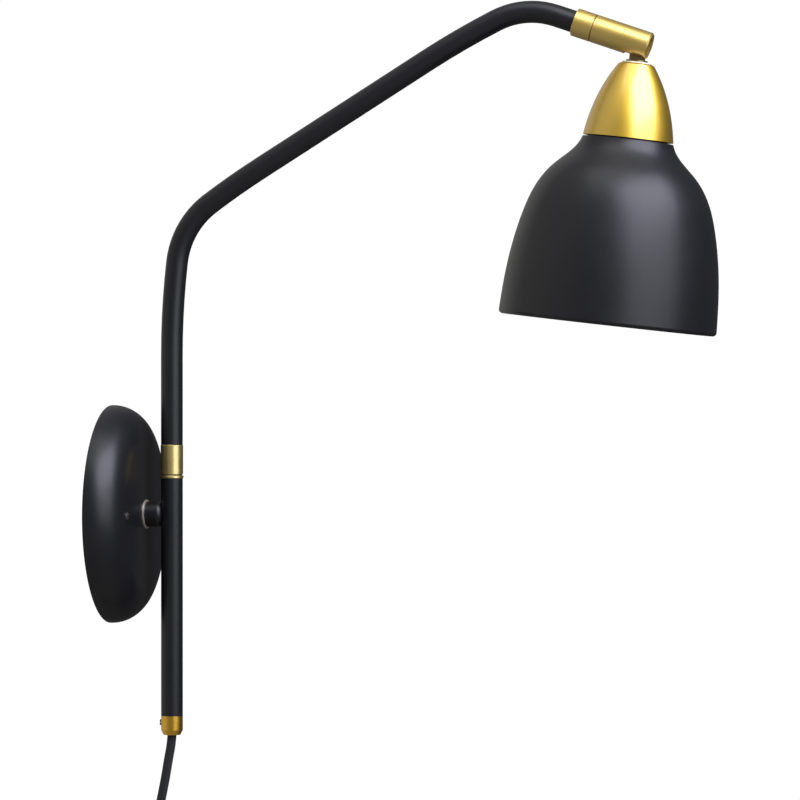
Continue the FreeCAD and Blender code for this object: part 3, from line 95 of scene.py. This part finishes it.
# Each glow has the degrees to the camera's right and up at its centre, the cosines of how far it is
# full and where it ends, and what it adds to the room.
glows = ((-112, 24, 0.85, 0.0, 0.44), (-45, 10, 0.95, 0.35, 0.05), (-10, -60, 0.9, 0.1, 0.20))
world = bpy.data.worlds.new("sweep")
world.use_nodes = True
bpy.context.scene.world = world
sky = world.node_tree
sky.nodes.clear()
where = node(sky, "TexCoord")
brightness = room_brightness
for turn, rise, full, ended, added in glows:
    facing = node(sky, "VectorMath", {"operation": "DOT_PRODUCT"},
                  {0: where.outputs["Generated"], 1: seen_from(turn, rise)})
    glow = node(sky, "MapRange", {"interpolation_type": "SMOOTHSTEP"},
                {"Value": facing.outputs["Value"], "From Min": ended, "From Max": full, "To Max": added})
    brightness = node(sky, "Math", sockets={0: glow.outputs["Result"], 1: brightness}).outputs["Value"]
seen_white = node(sky, "Background", sockets={"Color": (1, 1, 1, 1), "Strength": shown_brightness})
room_light = node(sky, "Background", sockets={"Color": (1.0, 0.99, 0.96, 1), "Strength": brightness})
who_looks = node(sky, "LightPath")
either = node(sky, "MixShader", sockets={"Fac": who_looks.outputs["Is Camera Ray"],
                                         1: room_light.outputs["Background"],
                                         2: seen_white.outputs["Background"]})
node(sky, "OutputWorld", sockets={"Surface": either.outputs["Shader"]})

# Two soft panels stand to the camera's right, one above the other, and a third hangs overhead.
panel_distance = 2.0


def softbox(name, turn, rise, width, height, radiance, tint=(1, 1, 1)):
    """A soft panel that faces the light from a direction, with a given brightness of its face."""
    light = bpy.data.lights.new(name, "AREA")
    light.shape = "RECTANGLE"
    light.size, light.size_y = width, height
    light.energy = radiance * math.pi * width * height
    light.color = tint
    stand = bpy.data.objects.new(name, light)
    stand.location = looked_at + seen_from(turn, rise) * panel_distance
    stand.rotation_euler = seen_from(turn, rise).to_track_quat("Z", "Y").to_euler()
    bpy.context.scene.collection.objects.link(stand)


softbox("key", turn=46, rise=44, width=2.2, height=1.45, radiance=6.6, tint=(0.93, 0.96, 1.12))
softbox("low key", turn=44, rise=9, width=1.9, height=1.0, radiance=2.4, tint=(0.97, 0.99, 1.08))
softbox("top", turn=-8, rise=72, width=1.6, height=1.3, radiance=1.6)

# A pale floor lies just under the plug, outside the photograph's view. It takes shadows, but throws no
# light back, for the photographed light hung far above any floor.
floor_radius, floor_level = 1.7, -0.455
bpy.ops.object.select_all(action="DESELECT")
bpy.ops.mesh.primitive_circle_add(vertices=96, radius=floor_radius, fill_type="NGON",
                                  location=(0, -0.18, floor_level))
floor = bpy.context.object
floor.name = "floor"
floor_paint = bpy.data.materials.new("floor paint")
floor_paint.use_nodes = True
floor_paint.node_tree.nodes["Principled BSDF"].inputs["Base Color"].default_value = (0.80, 0.80, 0.79, 1)
floor_paint.node_tree.nodes["Principled BSDF"].inputs["Roughness"].default_value = 0.7
floor.data.materials.append(floor_paint)
floor.visible_glossy = False
floor.visible_diffuse = False

# ---------------------------------------------------------------- wall bracket
# A strap of zinc-plated sheet steel, bent like a hat and screwed to the wall through its seat. The
# same bright plating is on the nuts, washers and bolts that hide in the stem and the barrel.


def effect(name, inputs, outputs):
    """An empty shader node group with named sockets, and its two end nodes."""
    tree = bpy.data.node_groups.new(name, "ShaderNodeTree")
    for title, kind, value in inputs:
        socket = tree.interface.new_socket(title, in_out="INPUT", socket_type="NodeSocket" + kind)
        if value is not None:
            socket.default_value = value
    for title, kind in outputs:
        tree.interface.new_socket(title, in_out="OUTPUT", socket_type="NodeSocket" + kind)
    return tree, tree.nodes.new("NodeGroupInput"), tree.nodes.new("NodeGroupOutput")


def placed(tree, group, sockets):
    """A group placed in a material."""
    made = tree.nodes.new("ShaderNodeGroup")
    made.node_tree = group
    for key, value in sockets.items():
        if isinstance(value, bpy.types.NodeSocket):
            tree.links.new(value, made.inputs[key])
        else:
            made.inputs[key].default_value = value
    return made


def plain_material(name, **values):
    """A material with one Principled shader. Underscores stand for spaces in its socket names."""
    material = bpy.data.materials.new(name)
    material.use_nodes = True
    shader = material.node_tree.nodes["Principled BSDF"]
    for key, value in values.items():
        shader.inputs[key.replace("_", " ")].default_value = value
    return material, material.node_tree, shader


def dress(material, *names):
    """Gives CAD nodes a finish."""
    for name in names:
        mesh = frame["nodes"][name].data
        mesh.materials.clear()
        mesh.materials.append(material)


# Fine grain: two sizes of noise, for the tone and the small height of a surface.
grain, given, out = effect("fine grain", [("Vector", "Vector", None), ("Scale", "Float", 900.0)],
                           [("Tone", "Float"), ("Height", "Float")])
coarse = node(grain, "TexNoise", sockets={"Vector": given.outputs["Vector"], "Scale": 60.0, "Detail": 3.0})
fine = node(grain, "TexNoise", sockets={"Vector": given.outputs["Vector"],
                                        "Scale": given.outputs["Scale"], "Detail": 2.0})
blend = node(grain, "Math", {"operation": "MULTIPLY_ADD"},
             {0: fine.outputs["Fac"], 1: 0.6, 2: coarse.outputs["Fac"]})
halved = node(grain, "Math", {"operation": "MULTIPLY"}, {0: blend.outputs[0], 1: 0.62})
grain.links.new(halved.outputs[0], out.inputs["Tone"])
grain.links.new(fine.outputs["Fac"], out.inputs["Height"])


def grained(tree, shader, scale, dark, light, smooth, rough, depth):
    """Runs the fine grain into a shader's colour, roughness and bump."""
    where = node(tree, "TexCoord")
    speck = placed(tree, grain, {"Vector": where.outputs["Object"], "Scale": scale})
    tint = node(tree, "Mix", {"data_type": "RGBA"},
                {"Factor": speck.outputs["Tone"], "A": dark, "B": light})
    sheen = node(tree, "MapRange", sockets={"Value": speck.outputs["Tone"], "From Min": 0.2, "From Max": 0.8,
                                            "To Min": smooth, "To Max": rough})
    bump = node(tree, "Bump", sockets={"Height": speck.outputs["Height"], "Strength": 0.35,
                                       "Distance": depth})
    tree.links.new(tint.outputs["Result"], shader.inputs["Base Color"])
    tree.links.new(sheen.outputs["Result"], shader.inputs["Roughness"])
    tree.links.new(bump.outputs["Normal"], shader.inputs["Normal"])


zinc, tree, shader = plain_material("zinc plate", Metallic=1.0)
grained(tree, shader, scale=700.0, dark=(0.50, 0.50, 0.49, 1), light=(0.66, 0.66, 0.64, 1),
        smooth=0.28, rough=0.42, depth=0.00004)
dress(zinc, "wall_bracket", "lock_washer", "stub_nut", "stub_bolt", "swivel_nut", "swivel_spring_washer",
      "barrel_bolt", "hinge_washers", "hinge_screw")

# ---------------------------------------------------------------- canopy, stub and tubes
# A pan spun from sheet steel hides the bracket, and a stub holds the stem off it. They, the bent tube
# and the shade wear the same matt black powder coat, which is faintly blue and never quite smooth.
coat, tree, shader = plain_material("black powder coat", Specular_IOR_Level=0.42)
grained(tree, shader, scale=1500.0, dark=(0.0058, 0.0059, 0.0074, 1), light=(0.0084, 0.0085, 0.0108, 1),
        smooth=0.34, rough=0.42, depth=0.00004)
dress(coat, "canopy", "stub", "stem_tube", "arm_tube", "shade")

# ---------------------------------------------------------------- canopy screws, grip screw and washer
# A blackened steel grip screw, and the dark rings in the swivel and behind the barrel. The canopy's
# screws have lost most of their black and glint.
blackened, tree, shader = plain_material("blackened steel", Metallic=0.8)
grained(tree, shader, scale=900.0, dark=(0.030, 0.030, 0.031, 1), light=(0.070, 0.070, 0.072, 1),
        smooth=0.20, rough=0.32, depth=0.00002)
dress(blackened, "cord_grip_screw", "barrel_washer", "swivel_washer")
screw_steel, tree, shader = plain_material("screw steel", Metallic=0.9)
grained(tree, shader, scale=900.0, dark=(0.16, 0.15, 0.14, 1), light=(0.30, 0.28, 0.26, 1),
        smooth=0.12, rough=0.22, depth=0.00002)
dress(screw_steel, "canopy_screws")

# ---------------------------------------------------------------- stub washer
# A flat ring of bright steel, clamped between canopy and stub by the stub's bolt. It shows there as a
# thin line.
bright, tree, shader = plain_material("bright steel", Metallic=0.7)
grained(tree, shader, scale=900.0, dark=(0.66, 0.59, 0.46, 1), light=(0.76, 0.69, 0.55, 1),
        smooth=0.30, rough=0.42, depth=0.00001)
dress(bright, "stub_washer")

# ---------------------------------------------------------------- brass on the stem
# The swivel and the end cap are turned from brass bar and left satin, with the tool's fine rings. The
# end cap's brass is the redder one.
rings_per_metre = 9000.0
rings, given, out = effect("lathe rings",
                           [("Vector", "Vector", None), ("Density", "Float", rings_per_metre)],
                           [("Tone", "Float"), ("Height", "Float")])
apart = node(rings, "SeparateXYZ", sockets={"Vector": given.outputs["Vector"]})
squared = node(rings, "Math", {"operation": "MULTIPLY"}, {0: apart.outputs["X"], 1: apart.outputs["X"]})
summed = node(rings, "Math", {"operation": "MULTIPLY_ADD"},
              {0: apart.outputs["Y"], 1: apart.outputs["Y"], 2: squared.outputs[0]})
radius = node(rings, "Math", {"operation": "SQRT"}, {0: summed.outputs[0]})
along = node(rings, "Math", {"operation": "MULTIPLY_ADD"},
             {0: radius.outputs[0], 1: 0.7, 2: apart.outputs["Z"]})
scaled = node(rings, "Math", {"operation": "MULTIPLY"}, {0: along.outputs[0], 1: given.outputs["Density"]})
lines = node(rings, "TexNoise", {"noise_dimensions": "1D"},
             {"W": scaled.outputs[0], "Scale": 1.0, "Detail": 3.0})
broad = node(rings, "TexNoise", sockets={"Vector": given.outputs["Vector"], "Scale": 45.0, "Detail": 2.0})
mixed = node(rings, "Math", {"operation": "MULTIPLY_ADD"},
             {0: lines.outputs["Fac"], 1: 0.7, 2: broad.outputs["Fac"]})
evened = node(rings, "Math", {"operation": "MULTIPLY"}, {0: mixed.outputs[0], 1: 0.59})
rings.links.new(evened.outputs[0], out.inputs["Tone"])
rings.links.new(lines.outputs["Fac"], out.inputs["Height"])


def turned_brass(name, centre, lean, dark, light, smooth, rough, lacquer):
    """Satin brass turned about an axis through a centre, which leans from upright about X, under lacquer."""
    material, tree, shader = plain_material(name, Metallic=1.0, Coat_Weight=lacquer, Coat_Roughness=0.25,
                                            Coat_IOR=1.85)
    where = node(tree, "TexCoord")
    local = node(tree, "Mapping", {"vector_type": "TEXTURE"},
                 {"Vector": where.outputs["Object"], "Location": centre,
                  "Rotation": (math.radians(lean), 0, 0)})
    marks = placed(tree, rings, {"Vector": local.outputs["Vector"], "Density": rings_per_metre})
    tint = node(tree, "Mix", {"data_type": "RGBA"}, {"Factor": marks.outputs["Tone"], "A": dark, "B": light})
    sheen = node(tree, "MapRange", sockets={"Value": marks.outputs["Tone"], "From Min": 0.2, "From Max": 0.8,
                                            "To Min": smooth, "To Max": rough})
    bump = node(tree, "Bump", sockets={"Height": marks.outputs["Height"], "Strength": 0.12,
                                       "Distance": 0.00001})
    tree.links.new(tint.outputs["Result"], shader.inputs["Base Color"])
    tree.links.new(sheen.outputs["Result"], shader.inputs["Roughness"])
    tree.links.new(bump.outputs["Normal"], shader.inputs["Normal"])
    return material


stem_axis = (0, -0.0382, 0)
stem_brass = turned_brass("stem brass", stem_axis, lean=0,
                          dark=(0.74, 0.57, 0.18, 1), light=(0.82, 0.65, 0.23, 1),
                          smooth=0.34, rough=0.44, lacquer=1.0)
dress(stem_brass, "swivel_base", "swivel_sleeve")
cap_brass = turned_brass("cap brass", stem_axis, lean=0,
                         dark=(0.74, 0.42, 0.030, 1), light=(0.88, 0.52, 0.050, 1),
                         smooth=0.26, rough=0.36, lacquer=0.3)
dress(cap_brass, "end_cap")

# ---------------------------------------------------------------- collar and barrel
# Brass bar again, brushed along the lathe: the collar is fixed on the arm's tip and the slotted barrel
# turns in front of it.
barrel_low, barrel_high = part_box("barrel")
barrel_centre = (barrel_low + barrel_high) / 2
barrel_lean = 109
barrel_brass = turned_brass("barrel brass", tuple(barrel_centre), lean=barrel_lean,
                            dark=(0.66, 0.46, 0.090, 1), light=(0.74, 0.53, 0.125, 1),
                            smooth=0.38, rough=0.48, lacquer=0.9)
dress(barrel_brass, "collar", "barrel")

# ---------------------------------------------------------------- knuckle and cone
# The knuckle hangs in the barrel's slot. Its brass is painted much darker than the rest: painted
# shade from the barrel above it. The spun cone below it hides the lampholder, and is lacquered satin,
# a little richer than the turned pieces.
hinge = Vector(next(joint for joint in frame["joints"] if joint["name"] == "head_tilt")["pos_m"])
head_lean = 6.5
# Painted shade: the knuckle's brass is darkened as if it lay in the barrel's shadow.
shaded_knuckle_brass = turned_brass("knuckle brass with painted shade", tuple(hinge), lean=head_lean,
                          dark=(0.16, 0.11, 0.035, 1), light=(0.28, 0.19, 0.06, 1),
                          smooth=0.26, rough=0.38, lacquer=0.3)
dress(shaded_knuckle_brass, "knuckle")
head_brass = turned_brass("head brass", tuple(hinge), lean=head_lean,
                          dark=(0.72, 0.46, 0.030, 1), light=(0.80, 0.53, 0.050, 1),
                          smooth=0.38, rough=0.48, lacquer=0.9)
dress(head_brass, "cone")

# ---------------------------------------------------------------- white washer and contact block
# A thin white ring is clamped between the cone's top and the knuckle's flange. The block that carries
# the lamp's contacts, deep in the lampholder, is white too.
white, tree, shader = plain_material("white moulding")
grained(tree, shader, scale=500.0, dark=(0.78, 0.77, 0.74, 1), light=(0.86, 0.85, 0.82, 1),
        smooth=0.35, rough=0.45, depth=0.00003)
dress(white, "head_washer", "contact_block")

# ---------------------------------------------------------------- lampholder and shade ring
# Black mouldings inside the cone and the shade: the lampholder's cap and body, and a fluted ring that
# clamps the shade on the body. The switch's shells and rocker, the plug and the cord's tie are black
# mouldings too. The lampholder's contacts are brass.
moulding, tree, shader = plain_material("black moulding")
grained(tree, shader, scale=800.0, dark=(0.011, 0.011, 0.012, 1), light=(0.018, 0.018, 0.019, 1),
        smooth=0.35, rough=0.48, depth=0.00005)
dress(moulding, "holder_cap", "holder_body", "shade_ring", "switch_base", "switch_cover", "switch_rocker",
      "plug_body", "cord_tie", "plug_relief")

contact, tree, shader = plain_material("contact brass", Metallic=1.0)
grained(tree, shader, scale=900.0, dark=(0.62, 0.44, 0.20, 1), light=(0.80, 0.62, 0.34, 1),
        smooth=0.22, rough=0.34, depth=0.00002)
dress(contact, "screw_shell", "centre_contact")

# ---------------------------------------------------------------- bulb
# An opal glass lamp on a pressed metal screw cap, screwed into the lampholder and hidden in the shade.
# The plug's pins have the cap's bright finish.
opal, tree, shader = plain_material("opal glass", Transmission_Weight=0.0, Coat_Weight=0.6)
grained(tree, shader, scale=120.0, dark=(0.84, 0.83, 0.80, 1), light=(0.90, 0.89, 0.86, 1),
        smooth=0.28, rough=0.34, depth=0.00001)
dress(opal, "bulb_glass")
tin, tree, shader = plain_material("lamp cap", Metallic=1.0)
grained(tree, shader, scale=600.0, dark=(0.58, 0.58, 0.58, 1), light=(0.70, 0.70, 0.70, 1),
        smooth=0.25, rough=0.38, depth=0.00003)
dress(tin, "bulb_cap", "plug_pins")

# ---------------------------------------------------------------- leads
# Two insulated wires come out of the arm and two out of the lampholder. They show in the slots of
# barrel and knuckle, and stop on each side of the two joints.
sleeve, tree, shader = plain_material("lead insulation")
grained(tree, shader, scale=400.0, dark=(0.05, 0.025, 0.012, 1), light=(0.08, 0.04, 0.02, 1),
        smooth=0.35, rough=0.45, depth=0.00002)
dress(sleeve, "arm_leads", "head_leads")

# ---------------------------------------------------------------- mains cord
# A round flex in a black textile braid. It leaves the end cap, leans to the wall, runs through a
# switch, and its put-away length hangs in a neat coil above the plug.
cord_radius = 0.0029
upper_route = [(0, -0.0382, -0.1363), (0, -0.0379, -0.1415), (0, -0.0358, -0.1525), (0, -0.0331, -0.1685),
               (0, -0.0296, -0.1842)]
lower_route = [(0, -0.0183, -0.2350), (0.0007, -0.0160, -0.2455), (0.0064, -0.0134, -0.2590),
               (0.0170, -0.0110, -0.2720), (0.0272, -0.0094, -0.2846), (0.0311, -0.0087, -0.2928)]
tail_route = [(0.0297, -0.0278, -0.3456), (0.0262, -0.0278, -0.3560), (0.0246, -0.0278, -0.3658),
              (0.0243, -0.0278, -0.3720)]

coil_centre = Vector((0, -0.0086, -0.318))
inner_radius, pitch, layer_step = 0.025, 0.0064, 0.0064
turns_per_layer, layers, points_per_turn = 2.03, 4, 16
climb_turns = 0.5
entry_angle = math.radians(20)
# A spline's control points stand a little outside the circle that it follows.
stand_out = 1 / math.cos(math.pi / points_per_turn)
coil_route = []
coil_points = round(turns_per_layer * layers * points_per_turn)
for step in range(coil_points + 1):
    turned = turns_per_layer * layers * step / coil_points
    layer = min(int(turned / turns_per_layer), layers - 1)
    into_layer = turned - layer * turns_per_layer
    outwards = into_layer if layer % 2 else turns_per_layer - into_layer
    climbed = 0
    for reversal in range(1, layers):
        share = min(max((turned - reversal * turns_per_layer + climb_turns / 2) / climb_turns, 0), 1)
        climbed += share * share * (3 - 2 * share)
    around = entry_angle - 2 * math.pi * turned
    away = (inner_radius + pitch * outwards) * stand_out
    coil_route.append(coil_centre + Vector((away * math.cos(around), -layer_step * climbed,
                                            away * math.sin(around))))

# The braid: two sets of strands wind round the cord and cross over and under. It reads the cord's UV
# map, whose U is the length along the cord in metres and whose V goes once round it. Its tone is the
# strands' rise, so the colour is darker between strands: painted shade in the grooves.
strands_round, strands_per_metre = 10.0, 620.0
braid, given, out = effect("braid", [("Strands", "Float", strands_round),
                                     ("Strands per metre", "Float", strands_per_metre)],
                           [("Tone", "Float"), ("Height", "Float")])
surface = node(braid, "UVMap", {"uv_map": "UVMap"})
apart = node(braid, "SeparateXYZ", sockets={"Vector": surface.outputs["UV"]})
lengthwise = node(braid, "Math", {"operation": "MULTIPLY"},
                  {0: apart.outputs["X"], 1: given.outputs["Strands per metre"]})
right_hand = node(braid, "Math", {"operation": "MULTIPLY_ADD"},
                  {0: apart.outputs["Y"], 1: given.outputs["Strands"], 2: lengthwise.outputs[0]})
backwards = node(braid, "Math", {"operation": "MULTIPLY"}, {0: lengthwise.outputs[0], 1: -1.0})
left_hand = node(braid, "Math", {"operation": "MULTIPLY_ADD"},
                 {0: apart.outputs["Y"], 1: given.outputs["Strands"], 2: backwards.outputs[0]})
ridges = []
for phase in (right_hand, left_hand):
    wound = node(braid, "Math", {"operation": "MULTIPLY"}, {0: phase.outputs[0], 1: math.pi})
    wave = node(braid, "Math", {"operation": "SINE"}, {0: wound.outputs[0]})
    ridges.append(node(braid, "Math", {"operation": "ABSOLUTE"}, {0: wave.outputs[0]}))
both = node(braid, "CombineXYZ", sockets={"X": right_hand.outputs[0], "Y": left_hand.outputs[0], "Z": 0.5})
over = node(braid, "TexChecker", sockets={"Vector": both.outputs["Vector"], "Scale": 1.0})
woven = node(braid, "Mix", {"data_type": "FLOAT"},
             {"Factor": over.outputs["Fac"], "A": ridges[0].outputs[0], "B": ridges[1].outputs[0]})
fibres = node(braid, "TexNoise", sockets={"Vector": surface.outputs["UV"], "Scale": 5000.0, "Detail": 2.0})
fuzzy = node(braid, "Math", {"operation": "MULTIPLY_ADD"},
             {0: fibres.outputs["Fac"], 1: 0.25, 2: woven.outputs["Result"]})
braid.links.new(woven.outputs["Result"], out.inputs["Tone"])
braid.links.new(fuzzy.outputs[0], out.inputs["Height"])

textile, tree, shader = plain_material("black braid", Roughness=0.8, Sheen_Weight=0.10, Sheen_Roughness=0.5)
weave = placed(tree, braid, {"Strands": strands_round, "Strands per metre": strands_per_metre})
# Painted shade: the braid is darkest between strands and lightest on their crowns.
tint = node(tree, "Mix", {"data_type": "RGBA"},
            {"Factor": weave.outputs["Tone"], "A": (0.002, 0.002, 0.003, 1), "B": (0.010, 0.010, 0.012, 1)})
bump = node(tree, "Bump", sockets={"Height": weave.outputs["Height"], "Strength": 0.8, "Distance": 0.00025})
tree.links.new(tint.outputs["Result"], shader.inputs["Base Color"])
tree.links.new(bump.outputs["Normal"], shader.inputs["Normal"])
dress(textile, "stem_flex", "arm_flex", "switch_flex")


def braided_cord(name, route):
    """A round cord on one smooth spline, as a mesh tube, and the points that it follows."""
    curve = bpy.data.curves.new(name, "CURVE")
    curve.dimensions = "3D"
    curve.resolution_u = 10
    spline = curve.splines.new("NURBS")
    spline.points.add(len(route) - 1)
    for point, place in zip(spline.points, route):
        point.co = (*place, 1)
    spline.order_u = 3
    spline.use_endpoint_u = True
    line = bpy.data.objects.new(name + " line", curve)
    bpy.context.scene.collection.objects.link(line)
    bpy.context.view_layer.update()
    path = [vertex.co.copy() for vertex in bpy.data.meshes.new_from_object(line).vertices]

    curve.bevel_depth = cord_radius
    curve.bevel_resolution = 4
    bpy.context.view_layer.update()
    tube = bpy.data.meshes.new_from_object(line.evaluated_get(bpy.context.evaluated_depsgraph_get()))
    bpy.data.objects.remove(line)
    travelled = [0.0]
    for here, there in zip(path, path[1:]):
        travelled.append(travelled[-1] + (there - here).length)
    around = len(tube.vertices) // len(path)
    chart = tube.uv_layers.active or tube.uv_layers.new(name="UVMap")
    chart.name = "UVMap"
    for face in tube.polygons:
        face.use_smooth = True
        places = [vertex % around for vertex in face.vertices]
        wraps = max(places) - min(places) > 1
        for corner, vertex, place in zip(face.loop_indices, face.vertices, places):
            turn = place + (around if wraps and place == 0 else 0)
            chart.data[corner].uv = (travelled[vertex // around], turn / around)
    tube.materials.clear()
    tube.materials.append(textile)
    piece = bpy.data.objects.new(name, tube)
    bpy.context.scene.collection.objects.link(piece)
    bpy.ops.object.select_all(action="DESELECT")
    bpy.context.view_layer.objects.active = piece
    piece.select_set(True)
    bpy.ops.object.mode_set(mode="EDIT")
    bpy.ops.mesh.select_all(action="SELECT")
    bpy.ops.mesh.fill_holes(sides=0)
    bpy.ops.object.mode_set(mode="OBJECT")
    return piece, path, travelled[-1]


upper, path, length = braided_cord("upper_cord", upper_route)
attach(upper, "wall_mount")
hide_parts("cord_upper")

lower, path, length = braided_cord("lower_cord", lower_route + coil_route + tail_route)
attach(lower, "wall_mount")
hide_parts("cord_lower", "cord_coil", "cord_tail")
